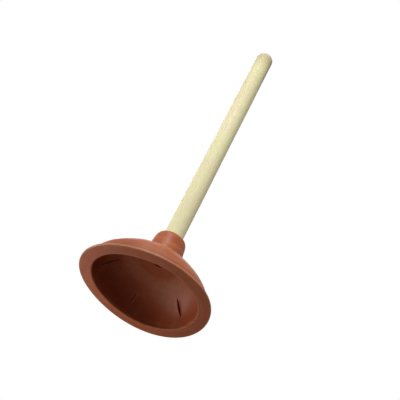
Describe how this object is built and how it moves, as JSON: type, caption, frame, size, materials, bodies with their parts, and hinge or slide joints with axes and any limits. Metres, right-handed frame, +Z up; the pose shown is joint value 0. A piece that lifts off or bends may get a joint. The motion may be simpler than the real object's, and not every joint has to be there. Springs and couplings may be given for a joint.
{
  "type": "toilet plunger",
  "caption": "Cup plunger: a flanged rubber suction cup with a tapered socket, on a long round wooden handle with a domed top.",
  "frame": {"origin": "centre of the cup's mouth, on the flat face of the rim that the plunger stands on", "axes": "+Z up along the handle's axis, from the mouth to the handle's domed top; +X runs through one of the six grooves inside the cup"},
  "size_m": [0.151, 0.151, 0.415],
  "materials": {
    "rubber": "moulded brick-red rubber, soft satin, matt inside",
    "wood": "pale cream dowel, fine straight grain, thin clear varnish"
  },
  "bodies": {
    "bell": {"cup_bell": "rubber"},
    "socket": {"cup_socket": "rubber"},
    "handle": {"handle": "wood"}
  },
  "joints": [
    {"name": "plunge", "type": "slide", "parent": "bell", "child": "socket", "axis": [0, 0, 1], "range_m": [-0.025, 0.005], "stiffness_N_per_m": 4000, "deforming": ["cup_bell"]},
    {"name": "handle_pull", "type": "slide", "parent": "socket", "child": "handle", "axis": [0, 0, 1], "range_m": [0, 0.03]}
  ]
}
